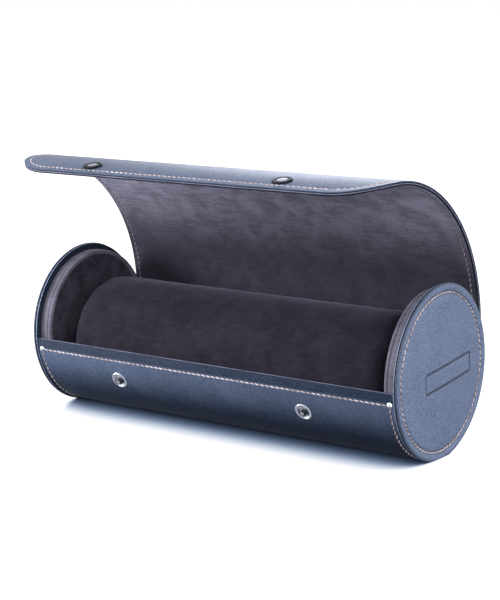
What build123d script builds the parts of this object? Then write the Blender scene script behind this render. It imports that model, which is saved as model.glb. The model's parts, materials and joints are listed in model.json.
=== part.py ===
"""Roll case for three watches: a padded tube of leather, with its flap lid open.

Millimetres. X runs along the roll, Y points to the back, Z up. The origin is the
middle of the flat under the roll, which is what it stands on. Angles in the cross
section turn about the roll's axis from the back (+Y) over the top.
"""
from build123d import *
from math import cos, degrees, radians, sin
import os

# The roll
cap_radius = 45.0             # the round ends
rim_overhang = 0.9            # the rim of an end stands this far out over the wall
cap_thickness = 2.2           # at the rim, from the back sheet to the face
cap_bulge = 1.1               # the padded face stands this far proud in the middle
cap_rim_rounding = 0.9
body_length = 228.4           # between the backs of the two ends
flat_depth = 1.2              # the underside is pressed flat this deep
glue_line = 0.1               # between curved layers

# Sheet goods
leather = 1.1
suede = 0.6
cap_leather = 0.8             # pared thinner to turn over the rim
back_sheet = 0.5
cap_board_thickness = 0.7
back_sheet_inset = 0.4        # the back sheet and the board stop short of the rim
pad_radius = 39.0

# Shoulders: the bands inside the ends, on which the trough and the lid lie
shoulder_length = 7.2
shoulder_rounding = 0.5
band_thickness = 1.5
lining_recess = 1.8           # from the shoulder's edge in to the end lining

# Trough: the stiff lower half of the tube
trough_board_thickness = 0.8
trough_lining_thickness = 0.5
lip_angle = 184.0             # the front lip
hinge_angle = 10.0            # where the wall ends and the lid begins
lip_rounding = 0.45

# Lid: a flap that bends, drawn as stiff strips between its flex lines
lid_board_thickness = 0.7
lid_glue_line = 0.05
lid_bend_radius = 84.0        # of the open lid, at mid thickness
lid_lean = 4.0                # degrees that the open lid leans back at the hinge
lid_lie = 0.866               # the shut lid's mean radius, less that of the wall's face
lid_strip_count = 6
lid_side_clearance = 0.3
lid_corner_radius = 26.0
hinge_inset = 0.5             # the hinge line lies this far inside the wall's face
flex_gap = 0.9                # between strips
board_inset = 7.0             # the lid's board stops inside the row of stitches

# Snaps
snap_spread = 59.6            # each snap from the middle of the roll
stud_angle = 207.5
stud_height = 1.5             # above the leather
stud_sink = 0.35              # the flange is pressed this deep into the leather
stud_flange_radius = 4.8
stud_rim_width = 0.9
stud_rim_height = 0.6
stud_plate_height = 0.35
stud_nub_radius = 2.1
stud_neck_radius = 1.7
stud_shank_radius = 1.6
stud_bore_radius = 1.25
post_flange_radius = 4.0
post_flange_thickness = 0.5
snap_from_edge = 9.0
snap_cap_radius = 5.2
snap_cap_height = 1.4
snap_cap_skirt = 0.9
snap_cap_sink = 0.2
snap_cap_shank_radius = 1.2
socket_radius = 4.6
socket_height = 1.2           # below the lining
socket_floor = 0.3
socket_sink = 0.15
socket_bore_radius = 2.4

# Rivets at the front corners
rivet_angle = 191.7
rivet_inset = 2.5             # from the back of the round end
rivet_head_radius = 1.7
rivet_head_height = 0.9
rivet_shank_radius = 0.8
fastener_clearance = 0.05

# Cushion roll
cushion_radius = 35.0
cushion_end_gap = 7.0         # finger room from the shoulder to the cushion's end
cushion_end_rounding = 8.0
cushion_crown = 2.5           # the sewn ends bulge this far
cushion_clearance = 0.3       # over the trough's lining
cushion_cover = 1.2

# Worked out from the sizes above
body_half = body_length / 2
cap_front = body_half + cap_thickness
axis_height = cap_radius - flat_depth
wall_outer = cap_radius - rim_overhang
leather_inner = wall_outer - leather
board_inner = leather_inner - glue_line - trough_board_thickness
wall_inner = board_inner - glue_line - trough_lining_thickness
shoulder_radius = wall_inner - glue_line
lid_length = radians(stud_angle - hinge_angle) * (wall_outer + lid_lie) + snap_from_edge
lid_half_thickness = (leather + lid_board_thickness + suede) / 2 + lid_glue_line
lid_half_width = body_half - lid_side_clearance
strip_turn = degrees(lid_length / lid_strip_count / lid_bend_radius)
flex_turn = degrees(flex_gap / 2 / lid_bend_radius)

section = Plane(origin=(0, 0, axis_height), x_dir=(0, 1, 0), z_dir=(1, 0, 0))
roll_axis = Axis((0, 0, axis_height), (1, 0, 0))
roll_centre = Vector(0, 0)


def round_point(centre, radius, angle):
    """The point of the cross section at a radius and an angle about a centre."""
    return centre + Vector(radius * cos(radians(angle)), radius * sin(radians(angle)))


# The open lid's arc starts on the hinge line and leans back by lid_lean
hinge_radius = wall_outer - hinge_inset
hinge_point = round_point(roll_centre, hinge_radius, hinge_angle)
lid_centre = hinge_point - round_point(roll_centre, lid_bend_radius, -lid_lean)


def layer_profile(centre, inner, outer, start, end):
    """The profile of one curved layer, between two arcs about one centre."""
    with BuildSketch() as profile:
        with BuildLine():
            inside = CenterArc(centre, inner, start, end - start)
            outside = CenterArc(centre, outer, start, end - start)
            Line(inside @ 0, outside @ 0)
            Line(inside @ 1, outside @ 1)
        make_face()
    return profile.sketch


def seat_plane(x, centre, radius, angle):
    """A plane on the cross section's circle at x, facing outwards."""
    point = round_point(centre, radius, angle)
    outward = round_point(roll_centre, 1, angle)
    return Plane(
        origin=(x, point.X, axis_height + point.Y),
        x_dir=(1, 0, 0),
        z_dir=(0, outward.X, outward.Y),
    )


def turning_plane(seat):
    """The plane of a turned fastener's half profile: x is radius, y is height."""
    return Plane(origin=seat.origin, x_dir=seat.x_dir, z_dir=-seat.y_dir)


def finish(piece, name):
    """Label a finished piece and write it."""
    piece.part.label = name
    export_step(piece.part, f"parts/{name}.step")


os.makedirs("parts", exist_ok=True)

# Where the fasteners sit
stud_seats = [
    seat_plane(side * snap_spread, roll_centre, wall_outer - stud_sink, stud_angle)
    for side in (-1, 1)
]
rivet_seats = [
    seat_plane(side * (body_half - rivet_inset), roll_centre, wall_outer, rivet_angle)
    for side in (-1, 1)
]
snap_turn = degrees((lid_length - snap_from_edge) / lid_bend_radius) - lid_lean
cap_seats = [
    seat_plane(side * snap_spread, lid_centre,
               lid_bend_radius + lid_half_thickness - snap_cap_sink, snap_turn)
    for side in (-1, 1)
]
socket_seats = [
    seat_plane(side * snap_spread, lid_centre,
               lid_bend_radius - lid_half_thickness + socket_sink, snap_turn)
    for side in (-1, 1)
]
through = 20.0                # long enough for any hole through a wall


# ---------------------------------------------------------------- round ends
dome_rise = cap_bulge
dome_radius = (pad_radius ** 2 + dome_rise ** 2) / (2 * dome_rise)
dome_drop = dome_radius - (dome_radius ** 2 - (pad_radius / 2) ** 2) ** 0.5
back_front = body_half + back_sheet
board_front = back_front + cap_board_thickness
face_back = cap_front - cap_leather
inner_radius = cap_radius - cap_leather

for side_name, side in (("left", -1), ("right", 1)):
    # x of this plane runs outwards along the roll, y is the radius
    half_profile = Plane(
        origin=(0, 0, axis_height), x_dir=(side, 0, 0), z_dir=(0, -side, 0)
    )

    # Leather face, domed over the pad and turned over the rim
    with BuildPart() as cap_face:
        with BuildSketch(half_profile):
            with BuildLine():
                ThreePointArc(
                    (cap_front + dome_rise, 0),
                    (cap_front + dome_rise - dome_drop, pad_radius / 2),
                    (cap_front, pad_radius),
                )
                Line((cap_front, pad_radius), (cap_front, cap_radius - cap_rim_rounding))
                RadiusArc(
                    (cap_front, cap_radius - cap_rim_rounding),
                    (cap_front - cap_rim_rounding, cap_radius),
                    -cap_rim_rounding,
                )
                Polyline(
                    (cap_front - cap_rim_rounding, cap_radius),
                    (back_front, cap_radius),
                    (back_front, inner_radius),
                    (face_back, inner_radius),
                    (face_back, pad_radius),
                )
                ThreePointArc(
                    (face_back, pad_radius),
                    (face_back + dome_rise - dome_drop, pad_radius / 2),
                    (face_back + dome_rise, 0),
                )
                Line((face_back + dome_rise, 0), (cap_front + dome_rise, 0))
            make_face()
        revolve(axis=roll_axis)
        split(bisect_by=Plane.XY, keep=Keep.TOP)
    finish(cap_face, f"{side_name}_cap_face")

    # Foam lens under the face
    with BuildPart() as cap_pad:
        with BuildSketch(half_profile):
            with BuildLine():
                ThreePointArc(
                    (face_back, pad_radius),
                    (face_back + dome_rise - dome_drop, pad_radius / 2),
                    (face_back + dome_rise, 0),
                )
                Polyline(
                    (face_back + dome_rise, 0),
                    (board_front, 0),
                    (board_front, pad_radius),
                    (face_back, pad_radius),
                )
            make_face()
        revolve(axis=roll_axis)
    finish(cap_pad, f"{side_name}_cap_pad")

    # Board disc that stiffens the end
    with BuildPart() as cap_board:
        with BuildSketch(half_profile):
            with Locations(((back_front + board_front) / 2, 0)):
                Rectangle(
                    cap_board_thickness,
                    inner_radius - back_sheet_inset,
                    align=(Align.CENTER, Align.MIN),
                )
        revolve(axis=roll_axis)
        split(bisect_by=Plane.XY, keep=Keep.TOP)
    finish(cap_board, f"{side_name}_cap_board")

    # Thin leather sheet that closes the back of the end
    with BuildPart() as cap_back:
        with BuildSketch(half_profile):
            with Locations((body_half + back_sheet / 2, 0)):
                Rectangle(
                    back_sheet,
                    cap_radius - back_sheet_inset,
                    align=(Align.CENTER, Align.MIN),
                )
        revolve(axis=roll_axis)
        split(bisect_by=Plane.XY, keep=Keep.TOP)
    finish(cap_back, f"{side_name}_cap_back")

    shoulder_edge = body_half - shoulder_length
    lining_face = shoulder_edge + lining_recess
    channel_inner = shoulder_radius - band_thickness - 2 * suede

    # Suede over the shoulder, folded round the band's edge
    with BuildPart() as shoulder_suede:
        with BuildSketch(half_profile) as channel:
            with BuildLine():
                Polyline(
                    (body_half, shoulder_radius),
                    (shoulder_edge, shoulder_radius),
                    (shoulder_edge, channel_inner),
                    (lining_face, channel_inner),
                    (lining_face, channel_inner + suede),
                    (shoulder_edge + suede, channel_inner + suede),
                    (shoulder_edge + suede, shoulder_radius - suede),
                    (body_half, shoulder_radius - suede),
                    close=True,
                )
            make_face()
            edge_corners = channel.vertices().sort_by(lambda corner: abs(corner.X))[:2]
            fillet(edge_corners, shoulder_rounding)
        revolve(axis=roll_axis)
        with Locations(*rivet_seats):
            Cylinder(rivet_shank_radius + fastener_clearance, through,
                     mode=Mode.SUBTRACT)
    finish(shoulder_suede, f"{side_name}_shoulder_suede")

    # Card band inside the suede
    band_inner = channel_inner + suede + glue_line
    with BuildPart() as shoulder_band:
        with BuildSketch(half_profile):
            with Locations((shoulder_edge + suede, band_inner)):
                Rectangle(
                    shoulder_length - suede,
                    shoulder_radius - suede - glue_line - band_inner,
                    align=(Align.MIN, Align.MIN),
                )
        revolve(axis=roll_axis)
        with Locations(*rivet_seats):
            Cylinder(rivet_shank_radius + fastener_clearance, through,
                     mode=Mode.SUBTRACT)
    finish(shoulder_band, f"{side_name}_shoulder_band")

    # Suede disc that lines the end, and the card disc it is glued to
    disc_radius = band_inner - glue_line
    with BuildPart() as end_lining:
        with BuildSketch(half_profile):
            with Locations((lining_face, 0)):
                Rectangle(suede, disc_radius, align=(Align.MIN, Align.MIN))
        revolve(axis=roll_axis)
    finish(end_lining, f"{side_name}_end_lining")

    with BuildPart() as end_board:
        with BuildSketch(half_profile):
            with Locations((lining_face + suede, 0)):
                Rectangle(
                    shoulder_length - lining_recess - suede,
                    disc_radius - glue_line,
                    align=(Align.MIN, Align.MIN),
                )
        revolve(axis=roll_axis)
    finish(end_board, f"{side_name}_end_board")


# -------------------------------------------------------------------- trough
wall_end = 360 + hinge_angle - degrees(flex_gap / 2 / hinge_radius)

with BuildPart() as trough_leather:
    with BuildSketch(section):
        add(layer_profile(roll_centre, leather_inner, wall_outer, lip_angle, wall_end))
    extrude(amount=body_half, both=True)
    lip_edges = trough_leather.edges().filter_by(Axis.X).sort_by(Axis.Y)[:2]
    fillet(lip_edges, lip_rounding)
    split(bisect_by=Plane.XY, keep=Keep.TOP)
    with Locations(*stud_seats):
        Cylinder(stud_flange_radius + fastener_clearance, through,
                 align=(Align.CENTER, Align.CENTER, Align.MIN), mode=Mode.SUBTRACT)
        Cylinder(stud_shank_radius + fastener_clearance, through, mode=Mode.SUBTRACT)
    with Locations(*rivet_seats):
        Cylinder(rivet_shank_radius + fastener_clearance, through, mode=Mode.SUBTRACT)
finish(trough_leather, "trough_leather")

with BuildPart() as trough_board:
    with BuildSketch(section):
        add(layer_profile(roll_centre, board_inner, board_inner + trough_board_thickness,
                          lip_angle, wall_end))
    extrude(amount=body_half, both=True)
    with Locations(*stud_seats):
        Cylinder(post_flange_radius + fastener_clearance, through, mode=Mode.SUBTRACT)
    with Locations(*rivet_seats):
        Cylinder(rivet_shank_radius + fastener_clearance, through, mode=Mode.SUBTRACT)
finish(trough_board, "trough_board")

with BuildPart() as trough_lining:
    with BuildSketch(section):
        add(layer_profile(roll_centre, wall_inner, wall_inner + trough_lining_thickness,
                          lip_angle, wall_end))
    extrude(amount=body_half, both=True)
    with Locations(*rivet_seats):
        Cylinder(rivet_shank_radius + fastener_clearance, through, mode=Mode.SUBTRACT)
finish(trough_lining, "trough_lining")


# ------------------------------------------------- snap studs, posts, rivets
nub_top = stud_sink + stud_height
nub_neck_height = stud_sink + stud_height / 2
shank_bottom = leather_inner + stud_sink - wall_outer

with BuildPart() as snap_studs:
    for seat in stud_seats:
        with BuildSketch(turning_plane(seat)):
            with BuildLine():
                Polyline(
                    (stud_bore_radius, shank_bottom),
                    (stud_shank_radius, shank_bottom),
                    (stud_shank_radius, 0),
                    (stud_flange_radius, 0),
                    (stud_flange_radius, stud_rim_height / 2),
                )
                ThreePointArc(
                    (stud_flange_radius, stud_rim_height / 2),
                    (stud_flange_radius - stud_rim_width / 2, stud_rim_height),
                    (stud_flange_radius - stud_rim_width, stud_plate_height),
                )
                Polyline(
                    (stud_flange_radius - stud_rim_width, stud_plate_height),
                    (stud_neck_radius, stud_plate_height),
                    (stud_neck_radius, nub_neck_height),
                    (stud_nub_radius, nub_neck_height + stud_nub_radius - stud_neck_radius),
                )
                ThreePointArc(
                    (stud_nub_radius, nub_neck_height + stud_nub_radius - stud_neck_radius),
                    (stud_neck_radius, nub_top - stud_plate_height / 2),
                    (stud_bore_radius, nub_top),
                )
                Line((stud_bore_radius, nub_top), (stud_bore_radius, shank_bottom))
            make_face()
        revolve(axis=Axis(seat.origin, seat.z_dir))
finish(snap_studs, "snap_studs")

# The post's flat flange lies under the round leather, and its rod fills the bore
flange_top = (leather_inner ** 2 - post_flange_radius ** 2) ** 0.5 - fastener_clearance
post_seat_radius = flange_top - post_flange_thickness
post_seats = [
    seat_plane(side * snap_spread, roll_centre, post_seat_radius, stud_angle)
    for side in (-1, 1)
]
rod_top = wall_outer + stud_height - stud_plate_height
with BuildPart() as snap_posts:
    with Locations(*post_seats):
        Cylinder(post_flange_radius, post_flange_thickness,
                 align=(Align.CENTER, Align.CENTER, Align.MIN))
        Cylinder(stud_bore_radius - fastener_clearance, rod_top - post_seat_radius,
                 align=(Align.CENTER, Align.CENTER, Align.MIN))
finish(snap_posts, "snap_posts")

rivet_reach = wall_outer - shoulder_radius + suede + band_thickness
head_sphere = (rivet_head_radius ** 2 + rivet_head_height ** 2) / (2 * rivet_head_height)
with BuildPart() as corner_rivets:
    for seat in rivet_seats:
        with BuildSketch(turning_plane(seat)):
            with BuildLine():
                Polyline(
                    (0, rivet_head_height),
                    (0, -rivet_reach),
                    (rivet_shank_radius, -rivet_reach),
                    (rivet_shank_radius, 0),
                    (rivet_head_radius, 0),
                )
                RadiusArc((rivet_head_radius, 0), (0, rivet_head_height), -head_sphere)
            make_face()
        revolve(axis=Axis(seat.origin, seat.z_dir))
finish(corner_rivets, "corner_rivets")


# -------------------------------------------------------------- cushion roll
cushion_drop = wall_inner - cushion_radius - cushion_clearance
cushion_half = body_half - shoulder_length - cushion_end_gap
cushion_height = axis_height - cushion_drop
cushion_axis = Axis((0, 0, cushion_height), (1, 0, 0))
sleeve_half = cushion_half - cushion_end_rounding - cushion_crown
core_radius = cushion_radius - cushion_cover

with BuildPart() as cushion_sleeve:
    with BuildSketch(Plane.YZ.offset(-sleeve_half)):
        with Locations((0, cushion_height)):
            Circle(cushion_radius)
            Circle(core_radius, mode=Mode.SUBTRACT)
    extrude(amount=2 * sleeve_half)
finish(cushion_sleeve, "cushion_sleeve")

with BuildPart() as cushion_core:
    with BuildSketch(Plane.YZ.offset(-sleeve_half)):
        with Locations((0, cushion_height)):
            Circle(core_radius - glue_line)
    extrude(amount=2 * sleeve_half)
finish(cushion_core, "cushion_core")

# Sewn ends: a rounded corner, then a shallow crown to the middle
crown_span = cushion_radius - cushion_end_rounding
crown_radius = (crown_span ** 2 + cushion_crown ** 2) / (2 * cushion_crown)
crown_drop = crown_radius - (crown_radius ** 2 - (crown_span / 2) ** 2) ** 0.5
for side_name, side in (("left", -1), ("right", 1)):
    with BuildPart() as cushion_end:
        with BuildSketch(Plane(origin=(0, 0, cushion_height), x_dir=(side, 0, 0),
                               z_dir=(0, -side, 0))):
            with BuildLine():
                Polyline(
                    (sleeve_half, cushion_radius),
                    (sleeve_half, 0),
                    (cushion_half, 0),
                )
                ThreePointArc(
                    (cushion_half, 0),
                    (cushion_half - crown_drop, crown_span / 2),
                    (cushion_half - cushion_crown, crown_span),
                )
                RadiusArc(
                    (cushion_half - cushion_crown, crown_span),
                    (sleeve_half, cushion_radius),
                    -cushion_end_rounding,
                )
            make_face()
        revolve(axis=cushion_axis)
    finish(cushion_end, f"cushion_end_{side_name}")


# ----------------------------------------------------------------------- lid
# Three layers in each strip: leather outside, board, suede lining inside. The last
# strips carry the flap's round corners.
corner_turn = degrees((lid_length - lid_corner_radius) / lid_bend_radius) - lid_lean
corner_plane = seat_plane(0, lid_centre, lid_bend_radius, corner_turn)
edge_reach = lid_bend_radius * sin(lid_corner_radius / lid_bend_radius)
lid_layers = (
    ("lining", -lid_half_thickness, suede, 0.0),
    ("board", suede + lid_glue_line - lid_half_thickness, lid_board_thickness, board_inset),
    ("leather", lid_half_thickness - leather, leather, 0.0),
)

for strip in range(lid_strip_count):
    strip_start = strip * strip_turn - lid_lean
    strip_end = strip_start + strip_turn
    last = strip == lid_strip_count - 1
    for layer_name, offset, thickness, inset in lid_layers:
        layer_end = strip_end - flex_turn
        if last:
            layer_end = strip_end - degrees(inset / lid_bend_radius)
        with BuildPart() as lid_layer:
            with BuildSketch(section):
                add(layer_profile(lid_centre, lid_bend_radius + offset,
                                  lid_bend_radius + offset + thickness,
                                  strip_start + flex_turn, layer_end))
            extrude(amount=lid_half_width - inset, both=True)
            if strip_end > corner_turn:
                with BuildSketch(corner_plane) as outline:
                    with Locations((0, inset - edge_reach)):
                        Rectangle(2 * (lid_half_width - inset), lid_length,
                                  align=(Align.CENTER, Align.MIN))
                    fillet(outline.vertices().sort_by(Axis.Y)[:2],
                           lid_corner_radius - inset)
                extrude(amount=through, both=True, mode=Mode.INTERSECT)
            if last:
                with Locations(*cap_seats):
                    Cylinder(snap_cap_shank_radius + fastener_clearance, through,
                             mode=Mode.SUBTRACT)
                    Cylinder(snap_cap_radius + fastener_clearance, through,
                             align=(Align.CENTER, Align.CENTER, Align.MIN),
                             mode=Mode.SUBTRACT)
                with Locations(*socket_seats):
                    Cylinder(socket_radius + fastener_clearance, through,
                             align=(Align.CENTER, Align.CENTER, Align.MAX),
                             mode=Mode.SUBTRACT)
        finish(lid_layer, f"lid_{layer_name}_{strip + 1}")

# Snap caps outside, with their shanks through the flap
shank_reach = 2 * lid_half_thickness - snap_cap_sink - socket_sink
cap_dome_drop = snap_cap_height - snap_cap_skirt
cap_sphere = (snap_cap_radius ** 2 + cap_dome_drop ** 2) / (2 * cap_dome_drop)
with BuildPart() as snap_caps:
    for seat in cap_seats:
        with BuildSketch(turning_plane(seat)):
            with BuildLine():
                Polyline(
                    (0, snap_cap_height),
                    (0, -shank_reach),
                    (snap_cap_shank_radius, -shank_reach),
                    (snap_cap_shank_radius, 0),
                    (snap_cap_radius, 0),
                    (snap_cap_radius, snap_cap_skirt),
                )
                RadiusArc((snap_cap_radius, snap_cap_skirt), (0, snap_cap_height),
                          -cap_sphere)
            make_face()
        revolve(axis=Axis(seat.origin, seat.z_dir))
finish(snap_caps, "snap_caps")

# Sockets inside: cups that open towards the studs
socket_wall = socket_radius - socket_bore_radius
with BuildPart() as snap_sockets:
    for seat in socket_seats:
        with BuildSketch(turning_plane(seat)):
            with BuildLine():
                socket_mouth = -socket_sink - socket_height
                Polyline(
                    (0, 0),
                    (socket_radius, 0),
                    (socket_radius, socket_mouth + socket_wall / 4),
                )
                ThreePointArc(
                    (socket_radius, socket_mouth + socket_wall / 4),
                    (socket_radius - socket_wall / 4, socket_mouth),
                    (socket_radius - socket_wall / 2, socket_mouth),
                )
                Polyline(
                    (socket_radius - socket_wall / 2, socket_mouth),
                    (socket_bore_radius, socket_mouth),
                    (socket_bore_radius, -socket_floor),
                    (0, -socket_floor),
                    (0, 0),
                )
            make_face()
        revolve(axis=Axis(seat.origin, seat.z_dir))
finish(snap_sockets, "snap_sockets")
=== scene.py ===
"""Looks of the roll case: leather, suede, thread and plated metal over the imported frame.

Metres, in the frame's own axes: X along the roll, Y to the back, Z up.
"""
import json
from math import atan2, ceil, cos, pi, radians, sin

import bmesh
import bpy
from mathutils import Matrix, Vector, noise


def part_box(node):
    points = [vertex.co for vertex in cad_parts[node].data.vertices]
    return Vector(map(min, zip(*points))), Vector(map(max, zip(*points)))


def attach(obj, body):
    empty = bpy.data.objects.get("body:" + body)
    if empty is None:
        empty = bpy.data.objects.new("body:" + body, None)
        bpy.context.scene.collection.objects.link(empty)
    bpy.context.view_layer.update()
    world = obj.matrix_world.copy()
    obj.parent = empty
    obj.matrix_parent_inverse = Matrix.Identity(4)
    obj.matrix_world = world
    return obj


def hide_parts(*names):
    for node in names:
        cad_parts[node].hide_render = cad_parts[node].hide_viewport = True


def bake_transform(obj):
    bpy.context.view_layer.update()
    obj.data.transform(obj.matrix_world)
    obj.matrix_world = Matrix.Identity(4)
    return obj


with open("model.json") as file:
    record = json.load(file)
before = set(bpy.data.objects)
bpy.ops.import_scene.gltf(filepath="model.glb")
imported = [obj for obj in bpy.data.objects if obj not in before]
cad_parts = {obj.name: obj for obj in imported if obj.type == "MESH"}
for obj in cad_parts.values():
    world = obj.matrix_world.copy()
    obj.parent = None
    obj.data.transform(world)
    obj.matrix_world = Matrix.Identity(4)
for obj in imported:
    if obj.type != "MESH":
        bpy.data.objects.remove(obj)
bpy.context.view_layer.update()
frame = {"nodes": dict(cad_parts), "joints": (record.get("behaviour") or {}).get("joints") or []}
nodes = frame["nodes"]
mm = 0.001

# Where things are, read from the frame: the roll's axis, its walls and its round ends
pad_low, pad_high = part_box("right_cap_pad")
axis_z = (pad_low.z + pad_high.z) / 2
cap_low, cap_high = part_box("right_cap_face")
cap_radius = cap_high.y
wall_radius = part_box("trough_leather")[1].y
body_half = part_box("right_cap_back")[0].x
shoulder_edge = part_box("right_shoulder_suede")[0].x


# ------------------------------------------------------------------- the room
# A white table that runs out of sight under a pale sky, and five soft lamps: over the
# front left, at the right, behind, low in front and one that fills the shade. The
# camera stands where the photograph's did.
camera_place = Vector((507.1, -711.7, 228.6)) * mm
camera_target = Vector((-1.0, 0.0, 67.9)) * mm
camera = bpy.data.objects.new("camera", bpy.data.cameras.new("camera"))
bpy.context.scene.collection.objects.link(camera)
camera.data.lens = 100
camera.data.sensor_width = 36
camera.data.clip_start, camera.data.clip_end = 0.01, 20
camera.location = camera_place
camera.rotation_mode = "QUATERNION"
camera.rotation_quaternion = (camera_target - camera_place).to_track_quat("-Z", "Y")
bpy.context.scene.camera = camera
bpy.context.scene.view_settings.view_transform = "Standard"

lamps = (
    # name, place, size, watts, colour
    ("key_lamp", (-0.30, -0.55, 1.25), 0.6, 12.0, (1.0, 0.99, 0.99)),
    ("side_lamp", (1.25, -0.10, 0.60), 0.8, 16.0, (0.93, 0.96, 1.0)),
    ("rear_lamp", (-0.46, 0.93, 0.58), 0.6, 6.0, (0.84, 0.88, 1.0)),
    ("front_lamp", (-0.42, -0.36, 0.20), 0.22, 6.2, (0.95, 0.97, 1.0)),
    ("fill_lamp", (0.62, -0.80, 0.38), 0.4, 8.5, (0.98, 0.98, 1.0)),
)
for name, place, size, watts, colour in lamps:
    lamp = bpy.data.lights.new(name, "AREA")
    lamp.shape, lamp.size, lamp.energy, lamp.color = "DISK", size, watts, colour
    stand = bpy.data.objects.new(name, lamp)
    bpy.context.scene.collection.objects.link(stand)
    stand.location = place
    stand.rotation_mode = "QUATERNION"
    way = Vector((0, 0, axis_z)) - stand.location
    stand.rotation_quaternion = way.to_track_quat("-Z", "Y")


class Shade:
    """A number, colour or vector of a material, on which sums are written as in Python."""

    def __init__(self, tree, socket=None):
        self.tree, self.socket = tree, socket

    def node(self, kind, settings, inputs, output=0):
        """Adds a node: its settings first, then the values or links of its sockets."""
        new = self.tree.nodes.new(kind)
        for key, value in settings.items():
            if key == "stops":
                for stop, (place, colour) in enumerate(value):
                    if stop > 1:
                        new.color_ramp.elements.new(place)
                    new.color_ramp.elements[stop].position = place
                    new.color_ramp.elements[stop].color = (*colour, 1)
            else:
                setattr(new, key, value)
        for key, value in inputs.items():
            if isinstance(value, Shade):
                self.tree.links.new(value.socket, new.inputs[key])
            else:
                new.inputs[key].default_value = value
        return Shade(self.tree, new.outputs[output])

    def sum(self, operation, first, second=0.0):
        return self.node("ShaderNodeMath", {"operation": operation}, {0: first, 1: second})

    def __add__(self, other):
        return self.sum("ADD", self, other)

    def __sub__(self, other):
        return self.sum("SUBTRACT", self, other)

    def __mul__(self, other):
        return self.sum("MULTIPLY", self, other)

    def __rsub__(self, other):
        return self.sum("SUBTRACT", other, self)

    __radd__, __rmul__ = __add__, __mul__

    def between(self, low, high):
        """0 below low, 1 above high and smooth between them."""
        return self.node("ShaderNodeMapRange", {"interpolation_type": "SMOOTHSTEP"},
                         {"Value": self, "From Min": low, "From Max": high})

    def mix(self, first, second):
        """The first colour where this is 0, the second where it is 1."""
        colours = [c if isinstance(c, Shade) else (*c, 1) for c in (first, second)]
        return self.node("ShaderNodeMix", {"data_type": "RGBA", "clamp_factor": True},
                         {0: self, 6: colours[0], 7: colours[1]}, output=2)

    def stretched(self, *scale):
        """These coordinates, scaled along each axis."""
        return self.node("ShaderNodeMapping", {}, {"Vector": self, "Scale": scale})

    def noise(self, scale, detail=2.0, distortion=0.0):
        return self.node("ShaderNodeTexNoise", {},
                         {"Vector": self, "Scale": scale, "Detail": detail,
                          "Distortion": distortion})

    def bump(self, depth):
        """The normal of a surface whose height is this, in the given metres."""
        return self.node("ShaderNodeBump", {},
                         {"Height": self, "Distance": depth, "Strength": 1.0})


def new_material(name):
    """A material, its coordinates in the frame, and its main shader's sockets."""
    material = bpy.data.materials.new(name)
    material.use_nodes = True
    tree = material.node_tree
    start = Shade(tree)
    place = start.node("ShaderNodeTexCoord", {}, {}, output="Object")
    return material, place, tree.nodes["Principled BSDF"].inputs


def wire(sockets, **values):
    """Sets or links the main shader's sockets, named with _ for a space."""
    for key, value in values.items():
        socket = sockets[key.replace("_", " ")]
        if isinstance(value, Shade):
            value.tree.links.new(value.socket, socket)
        else:
            socket.default_value = (*value, 1) if isinstance(value, tuple) else value


# The table: to the camera it glows white and is a little glossy, with a painted navy
# shadow, drawn from ambient occlusion, where the case stands over it; towards the case it
# sends back little light
table_reach = 80.0
shade_reach = 0.05
bpy.ops.object.select_all(action="DESELECT")
bpy.ops.mesh.primitive_plane_add(size=table_reach)
table = bpy.context.object
table.name = "table"
material, place, sockets = new_material("white_table")
seen = place.node("ShaderNodeLightPath", {}, {}, output="Is Camera Ray")
glossy = place.node("ShaderNodeLightPath", {}, {}, output="Is Glossy Ray")
openness = place.node("ShaderNodeAmbientOcclusion", {"samples": 24},
                      {"Distance": shade_reach}, output="AO")
shadow = openness.node("ShaderNodeValToRGB", {"stops": (
    (0.05, (0.003, 0.006, 0.014)), (0.16, (0.045, 0.070, 0.125)),
    (0.26, (0.20, 0.26, 0.38)), (0.36, (0.55, 0.61, 0.72)),
    (0.50, (1.0, 1.0, 1.0)))}, {"Fac": openness})
wire(sockets, Base_Color=seen.mix((0.10, 0.11, 0.13), (0.03, 0.035, 0.045)),
     Roughness=0.13,
     Emission_Color=glossy.mix(seen.mix((0, 0, 0), shadow), (0.07, 0.08, 0.10)),
     Emission_Strength=1.0)
table.data.materials.append(material)

# The sky lights the case evenly and shows as plain white
world = bpy.data.worlds.new("sky")
bpy.context.scene.world = world
world.use_nodes = True
tree = world.node_tree
tree.nodes.clear()
sky = Shade(tree)
paths = {ray: sky.node("ShaderNodeLightPath", {}, {}, output=f"Is {ray} Ray")
         for ray in ("Camera", "Glossy", "Transmission")}
shown = sky.sum("MAXIMUM", paths["Camera"], sky.sum("MAXIMUM", paths["Glossy"],
                                                    paths["Transmission"]))
strength = shown * 0.72 + 0.28
backdrop = sky.node("ShaderNodeBackground", {},
                    {"Color": shown.mix((0.93, 0.96, 1.0), (1, 1, 1)),
                     "Strength": strength})
output = tree.nodes.new("ShaderNodeOutputWorld")
tree.links.new(backdrop.socket, output.inputs["Surface"])


# ------------------------------------------------------------ leather and thread
# Grained synthetic leather: a grey-blue film with a fine pebble grain. It is a
# little darker in the creases of the grain and paler where it is rubbed.
grain_size = 1.25 * mm
grain_depth = 0.20 * mm

# Distances from the fold along the wrap, between which its leather darkens towards the
# underside and pales again towards the back, which is painted shade, and between which a
# narrow strip along the lip is darker
front_shade = (-0.130, -0.094)
back_shade = (-0.075, -0.015)
lip_strip = (-0.1350, -0.1336)


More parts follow.
